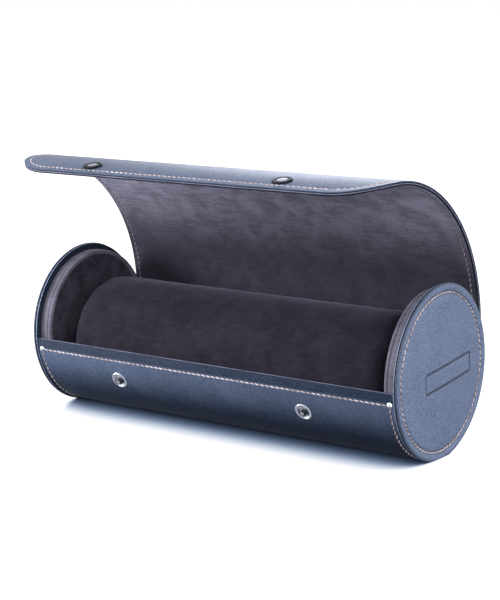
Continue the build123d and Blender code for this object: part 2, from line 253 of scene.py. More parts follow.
def leather(name, film, rubbed, roughness, shine, on_wrap=False):
    material, place, sockets = new_material(name)
    if on_wrap:
        place = place.node("ShaderNodeAttribute", {"attribute_name": "flat_place"}, {},
                           output="Vector")
    drift = place.noise(60.0, 3.0)
    shift = place.node("ShaderNodeTexNoise", {}, {"Vector": place, "Scale": 700.0},
                       output="Color")
    warped = place.node("ShaderNodeVectorMath", {"operation": "MULTIPLY_ADD"},
                        {0: shift, 1: (0.5 * mm,) * 3, 2: place})
    creases = place.node("ShaderNodeTexVoronoi", {"feature": "DISTANCE_TO_EDGE"},
                         {"Vector": warped, "Scale": 1 / grain_size})
    pebble = creases.between(0.0, 0.36)
    swell = place.noise(520.0, 2.0)
    pores = place.noise(5200.0, 1.0)
    tone = 0.24 + drift * 0.22 + swell * 0.20 + pebble * 0.28
    height = pebble * 0.8 + swell * 0.3 + pores * 0.12
    if on_wrap:
        tone = 0.36 + drift * 0.16 + swell * 0.10 + pebble * 0.12
        height = height * 0.4
        # On the wrap the leather is painted darker towards the underside, which is painted
        # shade, and is darker in a narrow strip along the lip
        run = place.node("ShaderNodeSeparateXYZ", {}, {"Vector": place}, output="Y")
        painted_underside_shade = run.between(*front_shade) * (1 - run.between(*back_shade))
        darker_lip_strip = 1 - run.between(*lip_strip)
        tone = tone - 0.52 * painted_underside_shade - 0.26 * darker_lip_strip
    colour = tone.between(0.15, 0.95)
    # Where the mesh is marked, the leather is darker: painted shade in the pressed line, the
    # stitch channel and on the rim's flank
    press_and_painted_shade = place.node("ShaderNodeAttribute", {"attribute_name": "press_and_painted_shade"}, {},
                         output="Fac")
    shown = (press_and_painted_shade * 0.9).mix(colour.mix(film, rubbed),
                                tuple(0.25 * part for part in film))
    wire(sockets, Base_Color=shown,
         Roughness=roughness + 0.12 * drift - 0.06 * pebble,
         Normal=height.bump(grain_depth), Specular_IOR_Level=shine)
    return material


end_leather = leather("end_leather", (0.046, 0.064, 0.116), (0.170, 0.210, 0.310),
                      0.42, 0.28)
# A near-black copy of the end leather for the back sheets' flat faces: painted shade
back_painted_shade_leather = leather("back_painted_shade_leather", (0.006, 0.009, 0.018), (0.018, 0.024, 0.042),
                       0.50, 0.12)

# Bonded thread, twisted: cream mottled at random with copper, partly its own colour and
# partly painted highlight and shade
material, place, sockets = new_material("copper_thread")
thread_mottle = place.noise(420.0, 2.0)
ply = place.node("ShaderNodeTexWave", {"wave_type": "BANDS"},
                 {"Vector": place, "Scale": 900.0, "Distortion": 2.0})
wire(sockets, Base_Color=(thread_mottle * 0.5 + place.noise(75.0, 1.0) * 0.5).between(0.38, 0.62)
     .mix((0.24, 0.165, 0.148), (0.47, 0.395, 0.388)),
     Roughness=0.62, Normal=ply.bump(0.05 * mm), Sheen_Weight=0.25)
copper_thread = material

# The thread from the bobbin, which shows on the lid's lining
material, place, sockets = new_material("bobbin_thread")
thread_mottle = place.noise(420.0, 2.0)
wire(sockets, Base_Color=thread_mottle.mix((0.10, 0.085, 0.10), (0.17, 0.145, 0.165)),
     Roughness=0.7)
bobbin_thread = material

stitch_length = 2.95 * mm
stitch_pitch = 3.1 * mm
stitch_radius = 0.34 * mm
stitch_slant = radians(10)


def deselect():
    bpy.ops.object.select_all(action="DESELECT")


def make_stitch():
    """One stitch along X at the origin: a spindle whose ends dip into the leather."""
    deselect()
    bpy.ops.mesh.primitive_circle_add(vertices=8, radius=1, fill_type="NGON",
                                      rotation=(0, pi / 2, 0))
    bpy.ops.object.transform_apply(rotation=True)
    half = stitch_length / 2
    rings = ((-half, 0.30, -0.9), (-0.72 * half, 0.85, -0.15), (0, 1.0, 0.1),
             (0.72 * half, 0.85, -0.15), (half, 0.30, -0.9))
    bpy.ops.object.mode_set(mode="EDIT")
    bpy.ops.mesh.select_all(action="SELECT")
    start, width, height = rings[0]
    bpy.ops.transform.resize(value=(1, width * stitch_radius, width * stitch_radius))
    bpy.ops.transform.translate(value=(start, 0, height * stitch_radius))
    for before, ring in zip(rings, rings[1:]):
        bpy.ops.mesh.extrude_region_move(TRANSFORM_OT_translate={
            "value": (ring[0] - before[0], 0, (ring[2] - before[2]) * stitch_radius)})
        bpy.ops.transform.resize(value=(1, ring[1] / before[1], ring[1] / before[1]))
    bpy.ops.mesh.select_all(action="SELECT")
    bpy.ops.mesh.normals_make_consistent(inside=False)
    bpy.ops.object.mode_set(mode="OBJECT")
    bpy.ops.object.shade_smooth()
    return bpy.context.object


stitch = make_stitch()


def sew(name, seats, thread=copper_thread):
    """A row of stitches: a copy of the stitch on each seat, joined into one piece."""
    deselect()
    for seat in seats:
        mesh = stitch.data.copy()
        mesh.transform(seat)
        copy = bpy.data.objects.new(name, mesh)
        bpy.context.scene.collection.objects.link(copy)
        copy.select_set(True)
        bpy.context.view_layer.objects.active = copy
    bpy.ops.object.join()
    row = bpy.context.object
    row.name = name
    row.data.materials.clear()
    row.data.materials.append(thread)
    return row


def seat_matrix(place, along, up):
    """Where a stitch goes: its middle, the way it runs, and the way out of the leather."""
    axes = (along.normalized(), up.cross(along).normalized(), up.normalized())
    return Matrix.Translation(place) @ Matrix(axes).transposed().to_4x4()


# ---------------------------------------------------------------- the round ends
# Each end is a leather face drawn over foam and a board, turned over the rim and
# stitched round, with a thin leather sheet behind. The stitches sit in a channel.
stitch_circle = 40.2 * mm
field_half = Vector((22.6, 4.9)) * mm
field_middle = Vector((5.0, -1.2)) * mm
field_line = 0.85 * mm
field_depth = 0.6 * mm
field_round = 1.0 * mm
field_turn = radians(6)
field_sink = 0.12 * mm

# The seam between face and back sheet is painted nearly black
material, place, sockets = new_material("edge_paint")
smear = place.noise(300.0, 2.0)
wire(sockets, Base_Color=smear.between(0.3, 0.7)
     .mix((0.003, 0.004, 0.007), (0.008, 0.01, 0.015)),
     Specular_IOR_Level=0.06,
     Roughness=0.45 + 0.3 * smear, Normal=smear.bump(0.05 * mm))
edge_paint = material

# Radius and height over the back sheet's front, from the back seam to the dome
rim_start = cap_low.x
cap_rings = (
    (44.15, 0.0), (44.15, 0.62), (44.55, 0.64), (44.86, 0.74), (45.0, 0.95), (44.97, 1.2),
    (44.72, 1.56), (44.25, 1.88), (43.6, 2.08), (42.9, 2.12), (42.2, 2.02), (41.5, 1.76),
    (40.9, 1.4), (40.5, 1.16), (40.2, 1.08), (39.8, 1.22), (39.2, 1.62), (38.4, 1.9),
)
dome_height = 2.8
channel_floor = 1.08
channel_half = 1.1 * mm
rim_fade = 1.5 * mm
seam_width = 0.63 * mm
back_edge = 44 * mm
dome_side = 160
grid_reach, grid_step = 36, 3
line_step, line_steps = 0.25, 5
field_middle_turned = Matrix.Rotation(-field_turn, 2) @ field_middle


def select_in_edit(test):
    """Selects the faces whose centre passes a test, in edit mode."""
    bpy.ops.mesh.select_all(action="DESELECT")
    mesh = bmesh.from_edit_mesh(bpy.context.object.data)
    for face in mesh.faces:
        if test(face.calc_center_median()):
            face.select_set(True)
    bmesh.update_edit_mesh(bpy.context.object.data)


def from_axis(spot):
    """Distance from the roll's axis."""
    return (spot.y ** 2 + (spot.z - axis_z) ** 2) ** 0.5


def dome(radius):
    """Height of the padded face over the last ring."""
    share = min(radius / (cap_rings[-1][0] * mm), 1.0)
    return (dome_height - cap_rings[-1][1]) * mm * (1 - share ** 2) ** 1.15


def field_gap(y, z):
    """Distance from the line of the pressed field, a rounded rectangle."""
    spot = Matrix.Rotation(-field_turn, 2) @ (Vector((y, z)) - field_middle)
    over = Vector((abs(spot.x) - field_half.x + field_round,
                   abs(spot.y) - field_half.y + field_round))
    outside = Vector((max(over.x, 0), max(over.y, 0))).length
    return outside + min(max(over.x, over.y), 0) - field_round


def make_cap(name, side, with_field):
    """The padded leather face of an end, with or without the debossed field."""
    deselect()
    bpy.ops.mesh.primitive_circle_add(vertices=dome_side, radius=cap_rings[0][0] * mm,
                                      fill_type="NGON", rotation=(0, pi / 2, 0),
                                      location=(rim_start, 0, axis_z))
    bpy.ops.object.transform_apply(location=True, rotation=True)
    bpy.ops.object.mode_set(mode="EDIT")
    bpy.ops.mesh.select_all(action="SELECT")
    for before, ring in zip(cap_rings, cap_rings[1:]):
        bpy.ops.mesh.extrude_region_move(TRANSFORM_OT_translate={
            "value": ((ring[1] - before[1]) * mm, 0, 0)})
        bpy.ops.transform.resize(value=(1, ring[0] / before[0], ring[0] / before[0]))
    # The face is cut into a grid, finest along the pressed line
    grid = range(-grid_reach, grid_reach + 1, grid_step)
    lines = [set(grid), set(grid)]
    turn = field_turn if with_field else 0.0
    if with_field:
        for axis in (0, 1):
            for edge in (field_middle_turned[axis] - field_half[axis],
                         field_middle_turned[axis] + field_half[axis]):
                lines[axis] |= {edge / mm + line_step * step
                                for step in range(-line_steps, line_steps + 1)}
    front = (cap_rings[-1][0] + 0.01) * mm
    for axis, direction in enumerate((Vector((0, cos(turn), sin(turn))),
                                      Vector((0, -sin(turn), cos(turn))))):
        for line in sorted(lines[axis]):
            select_in_edit(lambda centre: from_axis(centre) < 0.99 * front)
            bpy.ops.mesh.bisect(plane_co=direction * line * mm + Vector((0, 0, axis_z)),
                                plane_no=direction)
    bpy.ops.object.mode_set(mode="OBJECT")
    cap = bpy.context.object
    press_and_painted_shade = cap.data.attributes.new("press_and_painted_shade", "FLOAT", "POINT")
    for vertex, mark in zip(cap.data.vertices, press_and_painted_shade.data):
        y, z = vertex.co.y, vertex.co.z - axis_z
        radius = (y * y + z * z) ** 0.5
        if radius < front:
            vertex.co.x += dome(radius)
            if with_field:
                # The pressed line is sunk and marked to be painted darker: painted shade
                gap = field_gap(y, z)
                mark.value = max(0.0, 1 - (gap / field_line) ** 2)
                vertex.co.x -= field_depth * mark.value
                if gap < 0:
                    vertex.co.x -= field_sink
        else:
            # Marked to be painted darker in the stitch channel and on the rim's flank: painted
            # shade
            from_channel = (radius - stitch_circle) / channel_half
            from_rim = (cap_radius - radius) / rim_fade
            mark.value = max(0.9 * (1 - from_channel ** 2), 0.95 * (1 - from_rim), 0.0)
        vertex.co.z = max(vertex.co.z, 0.0)
    bpy.ops.object.shade_smooth_by_angle(angle=radians(50))
    cap.name = name
    cap.data.materials.append(end_leather)
    cap.data.materials.append(edge_paint)
    for face in cap.data.polygons:
        if face.center.x < rim_start + seam_width:
            face.material_index = 1
    for vertex in cap.data.vertices:
        vertex.co.x *= side
    if side < 0:
        cap.data.flip_normals()
    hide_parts(name.replace("leather", "face"), name.replace("leather", "pad"))
    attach(cap, "base")


for side_name, side in (("left", -1), ("right", 1)):
    make_cap(f"{side_name}_cap_leather", side, side > 0)
    count = round(2 * pi * stitch_circle / stitch_pitch)
    seats = []
    for step in range(count):
        turn = 2 * pi * step / count
        spot = Vector((side * (rim_start + (channel_floor + 0.2) * mm),
                       stitch_circle * cos(turn), axis_z + stitch_circle * sin(turn)))
        along = Vector((0, -sin(turn + stitch_slant), cos(turn + stitch_slant)))
        seats.append(seat_matrix(spot, along, Vector((side, 0, 0))))
    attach(sew(f"{side_name}_cap_stitches", seats), "base")
    back = nodes[f"{side_name}_cap_back"].data
    back.materials.clear()
    back.materials.append(back_painted_shade_leather)
    back.materials.append(end_leather)
    # The back sheets' flat faces take the near-black copy, painted shade; their rim beyond
    # back_edge keeps the end leather
    for face in back.polygons:
        face.material_index = int(abs(face.normal.x) < 0.5
                                  and from_axis(face.center) > back_edge)


# ------------------------------------------------------- shoulders and end linings
# Bands of grey-purple suede over card, with a bead rolled at the free edge. The lid
# and the trough lie on them. Inside is a near-black suede disc on a card, its colour partly
# painted shade.
# The flap's lining is painted darker towards the fold and paler towards its free edge: painted
# shade
lining_painted_shade = (0.032, 0.120)    # from the fold, where the flap's lining pales


def suede(name, deep, pale, contrast, on_wrap=False):
    material, place, sockets = new_material(name)
    if on_wrap:
        place = place.node("ShaderNodeAttribute", {"attribute_name": "flat_place"}, {},
                           output="Vector")
    along = place.stretched(130, 620, 620).noise(1.0, 4.0, 0.4)
    up = place.stretched(620, 130, 130).noise(1.0, 4.0, 0.4)
    blotch = place.noise(75.0, 5.0, 0.6)
    nap = place.noise(1500.0, 3.0)
    brushed = along * 0.36 + up * 0.12 + blotch * 0.54 + nap * 0.38
    tone = brushed.between(0.7 - contrast, 0.7 + contrast)
    if on_wrap:
        # On the flap the lining is painted darker towards the fold: painted shade
        run = place.node("ShaderNodeSeparateXYZ", {}, {"Vector": place}, output="Y")
        tone = (run.between(*lining_painted_shade) * 0.86 + 0.04) * (tone * 0.68 + 0.66)
    fibre = place.noise(3800.0, 2.0)
    wire(sockets, Base_Color=tone.mix(deep, pale), Roughness=0.92 + 0.05 * fibre,
         Normal=(fibre * 0.6 + nap).bump(0.09 * mm), Specular_IOR_Level=0.15,
         Sheen_Weight=0.06, Sheen_Roughness=0.4, Sheen_Tint=(0.62, 0.56, 0.82))
    return material


shoulder_cloth = suede("shoulder_suede_cloth", (0.058, 0.054, 0.073),
                       (0.106, 0.099, 0.130), 0.18)
# Near-black suede for the end linings, its colour partly painted shade
dark_cloth = suede("dark_suede_cloth", (0.012, 0.009, 0.015), (0.040, 0.033, 0.048), 0.16)

# Distance in from the end's back, and radius, round the band
shoulder_ring = (
    (7.15, 41.3), (6.2, 41.4), (4.2, 41.42), (2.8, 41.38), (2.5, 41.2), (2.34, 40.85),
    (2.16, 40.85), (2.0, 41.2), (1.7, 41.4), (1.2, 41.44), (0.6, 41.3), (0.2, 40.95),
    (0.0, 40.4), (0.02, 39.9), (0.2, 39.4), (0.65, 39.0), (1.2, 38.85), (1.75, 38.8),
)


def spun(name, ring, steps, middle, *materials):
    """A turned shell round an axis along X, from the points of its half section."""
    deselect()
    bpy.ops.mesh.primitive_plane_add(size=1)
    bpy.ops.object.mode_set(mode="EDIT")
    bpy.ops.mesh.select_all(action="SELECT")
    bpy.ops.mesh.merge(type="CENTER")
    bpy.ops.transform.translate(value=(ring[0][0] * mm, 0, middle + ring[0][1] * mm))
    for before, point in zip(ring, ring[1:]):
        bpy.ops.mesh.extrude_region_move(TRANSFORM_OT_translate={
            "value": ((point[0] - before[0]) * mm, 0, (point[1] - before[1]) * mm)})
    bpy.ops.mesh.select_all(action="SELECT")
    bpy.ops.mesh.spin(steps=steps, angle=2 * pi, center=(0, 0, middle), axis=(1, 0, 0))
    bpy.ops.mesh.select_all(action="SELECT")
    bpy.ops.mesh.remove_doubles(threshold=0.001 * mm)
    bpy.ops.mesh.normals_make_consistent(inside=False)
    bpy.ops.object.mode_set(mode="OBJECT")
    piece = bpy.context.object
    piece.name = name
    for material in materials:
        piece.data.materials.append(material)
    return piece


def set_material(node, material):
    nodes[node].data.materials.clear()
    nodes[node].data.materials.append(material)


for side_name, side in (("left", -1), ("right", 1)):
    ring = [(side * (shoulder_edge / mm + x), radius) for x, radius in shoulder_ring]
    ring += [(ring[0][0], 38.8), ring[0]]
    band = spun(f"{side_name}_shoulder_cloth", ring, 160, axis_z, shoulder_cloth)
    bpy.ops.object.shade_smooth()
    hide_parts(f"{side_name}_shoulder_suede")
    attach(band, "base")
    set_material(f"{side_name}_end_lining", dark_cloth)


# ------------------------------------------------------------------- the wrap
# One long laminate of leather, board and suede: the stiff trough, then the flap that
# turns on its fold at the back. Its cut edge shows the layers with dark glue between.
hinges = [Vector(joint["pos_m"]) for joint in frame["joints"] if joint["type"] == "hinge"]


def circle_through(first, second, third):
    """Centre and radius of the circle through three points of the section."""
    (ax, ay), (bx, by), (cx, cy) = ((p.y, p.z) for p in (first, second, third))
    twice = 2 * (ax * (by - cy) + bx * (cy - ay) + cx * (ay - by))
    a, b, c = ax * ax + ay * ay, bx * bx + by * by, cx * cx + cy * cy
    centre = Vector(((a * (by - cy) + b * (cy - ay) + c * (ay - by)) / twice,
                     (a * (cx - bx) + b * (ax - cx) + c * (bx - ax)) / twice))
    return centre, (Vector((ax, ay)) - centre).length


lid_centre, lid_radius = circle_through(hinges[0], hinges[2], hinges[5])
fold = Vector((hinges[0].y, hinges[0].z))
roll_centre = Vector((0, axis_z))
half_thick = 1.25 * mm
trough_radius = wall_radius - half_thick
fold_turn = 2 * pi + atan2(fold.y - axis_z, fold.x)
lid_start = atan2(fold.y - lid_centre.y, fold.x - lid_centre.x)
next_turn = atan2(hinges[1].z - lid_centre.y, hinges[1].y - lid_centre.x)
strip = lid_radius * (next_turn - lid_start)
lid_end = 6 * strip
lip_turn = radians(184)
lip = -(fold_turn - lip_turn) * trough_radius
fold_reach = 4.5 * mm
fold_blend = 5 * mm
width_ease = 4 * mm
trough_half = body_half - 0.05 * mm
lid_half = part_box("lid_leather_1")[1].x
corner = 26 * mm


def on_arc(distance):
    """Point and direction of the middle of the wrap, that far from the fold."""
    if distance < 0:
        centre, radius = roll_centre, trough_radius
        turn = fold_turn + distance / trough_radius
    else:
        centre, radius = lid_centre, lid_radius
        turn = lid_start + distance / lid_radius
    way = Vector((cos(turn), sin(turn)))
    return centre + radius * way, Vector((-way.y, way.x))


def wrap_frame(distance):
    """The same, with a soft bend at the fold."""
    if abs(distance) >= fold_reach:
        return on_arc(distance)
    (start, start_way), (end, end_way) = on_arc(-fold_reach), on_arc(fold_reach)
    share = (distance + fold_reach) / (2 * fold_reach)
    reach = 2 * fold_reach / 3
    knots = (start, start + start_way * reach, end - end_way * reach, end)
    weights = ((1 - share) ** 3, 3 * share * (1 - share) ** 2,
               3 * share ** 2 * (1 - share), share ** 3)
    point = sum((knot * weight for knot, weight in zip(knots, weights)), Vector((0, 0)))
    slopes = ((1 - share) ** 2, 2 * share * (1 - share), share ** 2)
    way = sum(((b - a) * weight for a, b, weight in zip(knots, knots[1:], slopes)),
              Vector((0, 0)))
    return point, way.normalized()


def on_wrap(x, distance, height):
    """From the flat sheet, x across and distance from the fold, to a place on the case."""
    point, way = wrap_frame(distance)
    out = Vector((way.y, -way.x))
    spot = point + out * height
    share = min(max(distance / width_ease + 1, 0), 1)
    width = 1 + share * (lid_half / trough_half - 1)
    return Vector((x * width, spot.x, max(spot.y, 0.0)))


cut_step = 2.0 * mm
channel_sink = 0.16 * mm
half_channel = 0.7 * mm
touching = 0.01 * mm


def select_parts(kind, test):
    """Selects the vertices or edges that pass a test, and nothing else, in edit mode."""
    mesh = bmesh.from_edit_mesh(bpy.context.object.data)
    for part in (*mesh.verts, *mesh.edges, *mesh.faces):
        part.select = False
    for part in getattr(mesh, kind):
        part.select_set(test(part))
    mesh.select_flush_mode()
    bmesh.update_edit_mesh(bpy.context.object.data)


def flat_sheet(name, near, far, low, high, inset, rounding, row, round_corners, near_edge):
    """A closed sheet of the laminate, flat: its outline, a rounded edge on the face that
    shows, a channel for the stitches, and cuts across it so that it can bend."""
    deselect()
    width = trough_half - inset
    start = near + inset if near_edge else near
    end = far - inset if round_corners else far
    bpy.ops.mesh.primitive_plane_add(size=1, location=(0, (start + end) / 2, low))
    bpy.ops.object.transform_apply(location=True)
    sheet = bpy.context.object
    sheet.name = name
    bpy.ops.object.mode_set(mode="EDIT")
    bpy.ops.mesh.select_all(action="SELECT")
    bpy.ops.transform.resize(value=(2 * width, end - start, 1))
    if round_corners:
        select_parts("verts", lambda vertex: vertex.co.y > (start + end) / 2)
        bpy.ops.mesh.bevel(offset=corner - inset, segments=28, affect="VERTICES")
    bpy.ops.mesh.select_all(action="SELECT")
    bpy.ops.mesh.extrude_region_move(TRANSFORM_OT_translate={"value": (0, 0, high - low)})
    face_at = high if high > 0 else low
    if rounding:
        select_parts("edges", lambda edge: (
            all(abs(v.co.z - face_at) < touching for v in edge.verts)
            and not all(abs(f.normal.z) > 0.5 for f in edge.link_faces)))
        bpy.ops.mesh.bevel(offset=rounding, segments=3, affect="EDGES")
    if row:
        side_row, end_row = row
        if end_row > side_row:
            select_in_edit(lambda centre: abs(centre.z - face_at) < touching)
            bpy.ops.mesh.bisect(plane_co=(0, near + end_row - side_row, 0),
                                plane_no=(0, 1, 0))
        select_in_edit(lambda centre: abs(centre.z - face_at) < touching
                       and centre.y > near + max(end_row - side_row, 0.1 * mm))
        bpy.ops.mesh.inset(thickness=side_row - inset - rounding - half_channel,
                           use_even_offset=True)
        bpy.ops.mesh.inset(thickness=half_channel, depth=-channel_sink,
                           use_even_offset=True)
        bpy.ops.mesh.inset(thickness=half_channel, depth=channel_sink,
                           use_even_offset=True)
    for step in range(1, ceil((far - near) / cut_step)):
        bpy.ops.mesh.select_all(action="SELECT")
        bpy.ops.mesh.bisect(plane_co=(0, near + step * cut_step, 0), plane_no=(0, 1, 0))
    bpy.ops.mesh.select_all(action="SELECT")
    bpy.ops.mesh.normals_make_consistent(inside=False)
    bpy.ops.object.mode_set(mode="OBJECT")
    return sheet


def part_of(sheet, name, start, end, material):
    """The stretch of a flat sheet between two lines, closed there, bent onto the case."""
    deselect()
    piece = sheet.copy()
    piece.data = sheet.data.copy()
    piece.name = name
    bpy.context.scene.collection.objects.link(piece)
    piece.select_set(True)
    bpy.context.view_layer.objects.active = piece
    bpy.ops.object.mode_set(mode="EDIT")
    for line, cut in ((start, {"clear_inner": True}), (end, {"clear_outer": True})):
        if line is not None:
            bpy.ops.mesh.select_all(action="SELECT")
            bpy.ops.mesh.bisect(plane_co=(0, line, 0), plane_no=(0, 1, 0), use_fill=True,
                                **cut)
    bpy.ops.object.mode_set(mode="OBJECT")
    flat = piece.data.attributes.new("flat_place", "FLOAT_VECTOR", "POINT")
    for vertex, spot in zip(piece.data.vertices, flat.data):
        spot.vector = vertex.co
        vertex.co = on_wrap(*vertex.co)
    bpy.ops.object.shade_smooth_by_angle(angle=radians(35))
    piece.data.materials.clear()
    piece.data.materials.append(material)
    return piece


wrap_leather = leather("wrap_leather", (0.004, 0.009, 0.022), (0.098, 0.126, 0.200),
                       0.40, 0.15, on_wrap=True)
lid_cloth = suede("lid_suede_cloth", (0.006, 0.006, 0.012), (0.300, 0.280, 0.362), 0.13,
                  on_wrap=True)
hem_cloth = suede("hem_suede_cloth", (0.080, 0.084, 0.125), (0.150, 0.155, 0.215), 0.16)

# The layers, from outside in: low and high from the middle, how far their edge stands
# back, its rounding, and the rows of stitches on the lid and on the trough
lid_row = 3.4 * mm
trough_row = 2.5 * mm
lip_row = 5.9 * mm
layers = (
    ("leather", 0.74, 1.25, 0.0, 0.26, True, wrap_leather),
    ("outer_glue", 0.20, 0.74, 0.35, 0.0, False, edge_paint),
    ("facing", -0.25, 0.20, 0.0, 0.0, False, hem_cloth),
    ("inner_glue", -1.00, -0.25, 0.08, 0.0, False, edge_paint),
    ("lining", -1.25, -1.00, 0.70, 0.10, True, lid_cloth),
)
overlap = 12 * mm
fold_line = -8 * mm
lid_cuts = [(strip_number + 0.5) * strip for strip_number in range(6)]
stretches = [(None, fold_line), (fold_line, lid_cuts[0])]
stretches += list(zip(lid_cuts, lid_cuts[1:])) + [(lid_cuts[-1], None)]
bends = range(1, 6)
stretch_names = ["trough", "fold", *(f"lid_bend_{number}" for number in bends), "lid_end"]
stretch_bodies = [("base",), ("base", "lid_1"),
                  *((f"lid_{number}", f"lid_{number + 1}") for number in bends), ("lid_6",)]


def hang(piece, number):
    """The stretch's piece rides on its body if it has one; a piece between two bodies is baked
    where it lies.
    """
    bodies = stretch_bodies[number]
    if len(bodies) == 1:
        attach(piece, bodies[0])
    elif number == 1:
        on_wrap(0, -fold_blend, 0)
        on_wrap(0, fold_blend, 0)
        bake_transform(piece)
    else:
        start, end = stretches[number]
        on_wrap(0, start, 0)
        on_wrap(0, end, 0)
        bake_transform(piece)


wrap_pieces = {}
for layer, low, high, inset, rounding, sewn, paint in layers:
    low, high, inset, rounding = low * mm, high * mm, inset * mm, rounding * mm
    lip_stitches = (trough_row, lip_row) if layer == "leather" else None
    lid_stitches = (lid_row, lid_row) if sewn else None
    trough_sheet = flat_sheet("trough_sheet", lip, overlap, low, high, inset, rounding,
                              lip_stitches, round_corners=False, near_edge=True)
    lid_sheet = flat_sheet("lid_sheet", fold_line - overlap, lid_end, low, high, inset,
                           rounding, lid_stitches, round_corners=True, near_edge=False)
    for number, (start, end) in enumerate(stretches):
        sheet = trough_sheet if number == 0 else lid_sheet
        wrap_pieces[layer, number] = part_of(sheet, f"{stretch_names[number]}_{layer}",
                                             start, end, paint)
    bpy.data.objects.remove(trough_sheet)
    bpy.data.objects.remove(lid_sheet)


def join(name, members):
    deselect()
    for member in members:
        member.select_set(True)
    bpy.context.view_layer.objects.active = members[0]
    bpy.ops.object.join()
    members[0].name = name
    return members[0]


for number, name in enumerate(stretch_names):
    leather_piece, outer_glue, facing, inner_glue, cloth = (
        wrap_pieces[layer[0], number] for layer in layers)
    skin = join(f"{name}_leather", [leather_piece, facing])
    glue = join(f"{name}_edge", [outer_glue, inner_glue])
    cloth.name = f"{name}_suede"
    if number == 0:
        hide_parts("trough_leather", "trough_board")
        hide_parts("trough_lining")
    elif number < 7:
        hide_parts(f"lid_leather_{number}", f"lid_board_{number}")
        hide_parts(f"lid_lining_{number}")
    for piece in (skin, glue, cloth):
        hang(piece, number)


# Rows of stitches: along the lip and down the ends of the trough, and round the flap.
# They stop short of the corners, where the rows would cross, and of the fold.
lip_row_starts, lip_row_ends = 3.2 * mm, 3 * mm
side_row_starts, side_row_ends = 3.0 * mm, 4 * mm
lid_row_starts = 6 * mm
trough_stitch_depth, lid_stitch_depth, lining_stitch_depth = 0.08 * mm, 0.18 * mm, 0.10 * mm
lowest_stitch = 0.4 * mm


def flat_row(points):
    """Stations a pitch apart along a flat line: place and direction."""
    spots, carry = [], 0.0
    for start, end in zip(points, points[1:]):
        way = end - start
        reach = carry
        while reach < way.length:
            spots.append((start + way.normalized() * reach, way.normalized()))
            reach += stitch_pitch
        carry = reach - way.length
    return spots


def corner_arc(centre, radius, start, end, steps=14):
    return [centre + radius * Vector((cos(start + (end - start) * step / steps),
                                      sin(start + (end - start) * step / steps)))
            for step in range(steps + 1)]


trough_x = trough_half - trough_row
lid_x = trough_half - lid_row
arc_radius = corner - lid_row
arc_y = lid_end - corner
rows = [[Vector((-trough_x + lip_row_starts, lip + lip_row)),
         Vector((trough_x - lip_row_ends, lip + lip_row))]]
for side in (-1, 1):
    rows.append([Vector((side * trough_x, lip + lip_row + side_row_starts)),
                 Vector((side * trough_x, fold_line - side_row_ends))])
trough_rows = len(rows)
lid_row_points = [Vector((lid_x, lid_row_starts)), Vector((lid_x, arc_y))]
arc_x = trough_half - corner
lid_row_points += corner_arc(Vector((arc_x, arc_y)), arc_radius, 0, pi / 2)[1:]
lid_row_points += corner_arc(Vector((-arc_x, arc_y)), arc_radius, pi / 2, pi)
lid_row_points += [Vector((-lid_x, lid_row_starts))]
rows.append(lid_row_points)

seats = {}
for index, points in enumerate(rows):
    for spot, way in flat_row(points):
        faces = ((half_thick - trough_stitch_depth, 1),)
        if index >= trough_rows:
            faces = ((half_thick - lid_stitch_depth, 1),
                     (-half_thick + lining_stitch_depth, -1))
        for height, face in faces:
            number = max(i for i, (start, _) in enumerate(stretches)
                         if start is None or spot.y >= start)
            slant = stitch_slant * face
            turned = Vector((way.x * cos(slant) - way.y * sin(slant),
                             way.x * sin(slant) + way.y * cos(slant)))
            middle = on_wrap(spot.x, spot.y, height)
            ahead = on_wrap(spot.x + turned.x * mm, spot.y + turned.y * mm, height)
            out = on_wrap(spot.x, spot.y, height + face * mm) - middle
            if middle.z < lowest_stitch:
                continue
            seats.setdefault((number, face), []).append(
                seat_matrix(middle, ahead - middle, out))
for (number, face), places in seats.items():
    side_name = "outer" if face > 0 else "inner"
    row = sew(f"{stretch_names[number]}_{side_name}_stitches", places,
              copper_thread if face > 0 else bobbin_thread)
    hang(row, number)


# ------------------------------------------------------------- snaps and rivets
# Nickel-plated brass, turned and pressed, with light rubbing. The caps on the flap are
# near black round a metal centre: painted dark reflection and shade. The sides and foot
# of each stud's post and the middle of each socket are a dark copy of the plate: painted shade.
def plated(name, bright, dull, roughness):
    material, place, sockets = new_material(name)
    haze = place.noise(900.0, 3.0)
    rub = place.noise(3000.0, 2.0)
    wire(sockets, Base_Color=haze.between(0.35, 0.7).mix(dull, bright), Metallic=1.0,
         Roughness=roughness + 0.18 * haze, Normal=rub.bump(0.01 * mm))
    return material


nickel = plated("nickel_plate", (0.62, 0.63, 0.66), (0.40, 0.41, 0.44), 0.22)
pale_nickel = plated("satin_nickel", (0.86, 0.86, 0.90), (0.66, 0.66, 0.70), 0.26)
brushed_nickel = plated("brushed_nickel", (0.30, 0.29, 0.36), (0.16, 0.16, 0.20), 0.42)
# A dark copy of the plate for the studs' posts and the sockets' middles: painted shade
painted_shade_plate = plated("painted_shade_nickel", (0.16, 0.16, 0.17), (0.02, 0.022, 0.028), 0.26)
# Near black for the caps round their centre: painted dark reflection and shade
material, place, sockets = new_material("painted_dark_skirt")
haze = place.noise(800.0, 2.0)
wire(sockets, Base_Color=haze.mix((0.002, 0.002, 0.004), (0.006, 0.007, 0.012)),
     Roughness=0.42 + 0.15 * haze, Normal=haze.bump(0.01 * mm))
painted_shade_skirt = material
sockets["Specular IOR Level"].default_value = 0.06
for node in ("snap_posts", "corner_rivets"):
    set_material(node, nickel)

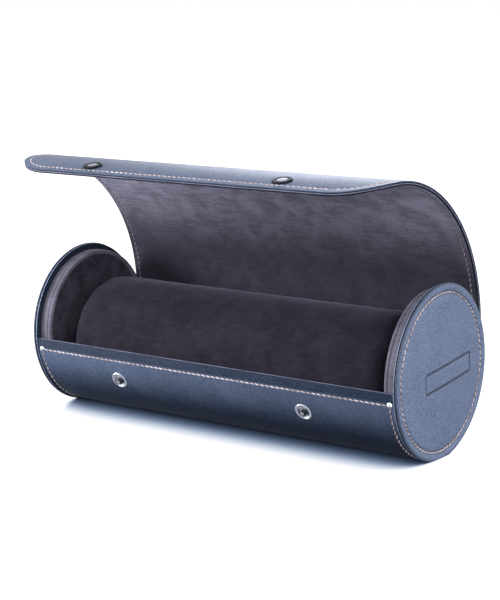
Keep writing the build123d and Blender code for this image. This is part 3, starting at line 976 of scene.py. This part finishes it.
# Height over the leather and radius, from the outside in
stud_profile = ((-0.3, 4.8), (0.08, 4.8), (0.2, 4.68), (0.28, 4.45), (0.3, 4.1),
                (0.26, 3.8), (0.12, 3.6), (0.0, 3.45), (-0.04, 3.0), (-0.04, 2.2),
                (0.02, 1.85), (0.15, 1.72), (0.4, 1.7), (0.75, 1.74), (0.95, 1.9),
                (1.12, 2.05), (1.25, 2.08), (1.38, 1.98), (1.46, 1.75), (1.5, 1.4),
                (1.46, 1.1), (1.4, 0.6), (1.4, 0.02))
cap_profile = ((-0.3, 5.2), (0.42, 5.2), (0.66, 5.1), (0.82, 4.9), (0.9, 4.6),
               (0.9, 4.2), (0.84, 3.8), (0.74, 3.45), (0.72, 3.2), (0.78, 3.0),
               (0.84, 2.7), (0.88, 2.0), (0.9, 1.2), (0.9, 0.02))
socket_profile = ((-0.3, 4.6), (0.85, 4.6), (1.08, 4.48), (1.2, 4.2), (1.2, 3.4),
                  (1.1, 2.9), (0.9, 2.55), (0.7, 2.4), (0.12, 2.4), (0.1, 2.2),
                  (0.1, 0.02))
snap_sides = 48
snap_inset = 9.0 * mm
snap_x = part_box("snap_studs")[1].x - stud_profile[0][1] * mm
stud_way = (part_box("snap_studs")[0].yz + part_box("snap_studs")[1].yz) / 2 - roll_centre
stud_line = (atan2(stud_way.y, stud_way.x) % (2 * pi) - fold_turn) * trough_radius
snap_line = lid_end - snap_inset
# The two numbers in brackets are the radii between which the second metal shows
for name, node, profile, line, face, rim, middle, dark, body in (
        ("stud_faces", "snap_studs", stud_profile, stud_line, 1,
         pale_nickel, painted_shade_plate, (0.9, 2.15), "base"),
        ("snap_cap_faces", "snap_caps", cap_profile, snap_line, 1,
         painted_shade_skirt, brushed_nickel, (0.0, 2.4), "lid_6"),
        ("socket_faces", "snap_sockets", socket_profile, snap_line, -1,
         nickel, painted_shade_plate, (0.0, 2.3), "lid_6")):
    pair = []
    for side in (-1, 1):
        piece = spun(name, profile, snap_sides, 0.0, rim, middle)
        for part in piece.data.polygons:
            part.material_index = int(dark[0] < part.center.yz.length / mm < dark[1])
        foot = on_wrap(side * snap_x, line, face * half_thick)
        out = on_wrap(side * snap_x, line, face * (half_thick + mm)) - foot
        turn = out.to_track_quat("X", "Z").to_matrix().to_4x4()
        piece.data.transform(Matrix.Translation(foot) @ turn)
        pair.append(piece)
    snaps = join(name, pair)
    bpy.ops.object.shade_smooth_by_angle(angle=radians(40))
    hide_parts(node)
    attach(snaps, body)


# ------------------------------------------------------------------ cushion roll
# A foam roll in near-black suede, its colour partly painted shade, closed with a sewn
# disc at each end. The cover is stuffed, so it swells between its seams and creases a little.
sleeve_low, sleeve_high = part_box("cushion_sleeve")
roll_radius = (sleeve_high.y - sleeve_low.y) / 2
roll_z = (sleeve_high.z + sleeve_low.z) / 2
roll_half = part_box("cushion_end_right")[1].x
roll_sides = 64
slack = 0.9 * mm
end_rounding = 7.5 * mm
voxel = 4.5 * mm
air_pressure = 4
settled = 20
furthest = 3 * mm
seam_inset, seam_half, seam_depth = 9.5 * mm, 1.6 * mm, 0.7 * mm
crease = 0.35 * mm
clearance = 0.1 * mm
deselect()
bpy.ops.mesh.primitive_cylinder_add(vertices=roll_sides, radius=roll_radius - slack,
                                    depth=2 * (roll_half - slack), rotation=(0, pi / 2, 0),
                                    location=(0, 0, roll_z))
bpy.ops.object.transform_apply(location=True, rotation=True)
cushion = bpy.context.object
cushion.name = "cushion_cover"
bpy.ops.object.mode_set(mode="EDIT")
select_in_edit(lambda centre: abs(centre.x) > roll_half - 2 * mm)
bpy.ops.mesh.bevel(offset=end_rounding, segments=5, affect="EDGES")
bpy.ops.object.mode_set(mode="OBJECT")
cushion.data.remesh_voxel_size = voxel
bpy.ops.object.voxel_remesh()
rest = [vertex.co.copy() for vertex in cushion.data.vertices]
cloth = cushion.modifiers.new("stuffing", "CLOTH")
cloth.settings.use_pressure = True
cloth.settings.uniform_pressure_force = air_pressure
cloth.settings.effector_weights.gravity = 0
cloth.settings.quality = 5
for step in range(1, settled + 1):
    bpy.context.scene.frame_set(step)
bpy.ops.object.modifier_apply(modifier=cloth.name)
bpy.context.scene.frame_set(1)
for vertex, start in zip(cushion.data.vertices, rest):
    moved = vertex.co - start
    if moved.length > furthest:
        vertex.co = start + moved * (furthest / moved.length)
smooth = cushion.modifiers.new("smooth", "SUBSURF")
smooth.levels = smooth.render_levels = 2
bpy.ops.object.modifier_apply(modifier=smooth.name)
seam_x = roll_half - seam_inset
for vertex in cushion.data.vertices:
    x, y, z = vertex.co.x, vertex.co.y, vertex.co.z - roll_z
    radius = max((y * y + z * z) ** 0.5, 1e-6)
    unevenness = noise.noise(Vector((x * 30, y * 45, z * 45))) * crease
    seam = max(0.0, 1 - (abs(abs(x) - seam_x) / seam_half) ** 2) * seam_depth
    allowed = roll_radius - clearance - seam - abs(unevenness)
    if radius > allowed:
        vertex.co.y, vertex.co.z = y * allowed / radius, roll_z + z * allowed / radius
    vertex.co.x = min(max(x, -roll_half), roll_half)
deselect()
cushion.select_set(True)
bpy.context.view_layer.objects.active = cushion
bpy.ops.object.shade_smooth()
# Near-black suede, its colour partly painted shade
cushion_cloth = suede("cushion_suede_cloth", (0.003, 0.002, 0.005),
                      (0.013, 0.011, 0.019), 0.22)
cushion.data.materials.clear()
cushion.data.materials.append(cushion_cloth)
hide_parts("cushion_sleeve", "cushion_core", "cushion_end_left",
            "cushion_end_right")
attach(cushion, "cushion")


# ----------------------------------------------------------- boards out of sight
# Grey bookbinder's board inside the ends
material, place, sockets = new_material("grey_board")
pulp = place.noise(700.0, 4.0)
wire(sockets, Base_Color=pulp.between(0.3, 0.7).mix((0.20, 0.19, 0.17), (0.32, 0.30, 0.27)),
     Roughness=0.9, Normal=pulp.bump(0.05 * mm))
for side_name in ("left", "right"):
    for board in ("cap_board", "shoulder_band", "end_board"):
        set_material(f"{side_name}_{board}", material)

bpy.data.objects.remove(stitch)
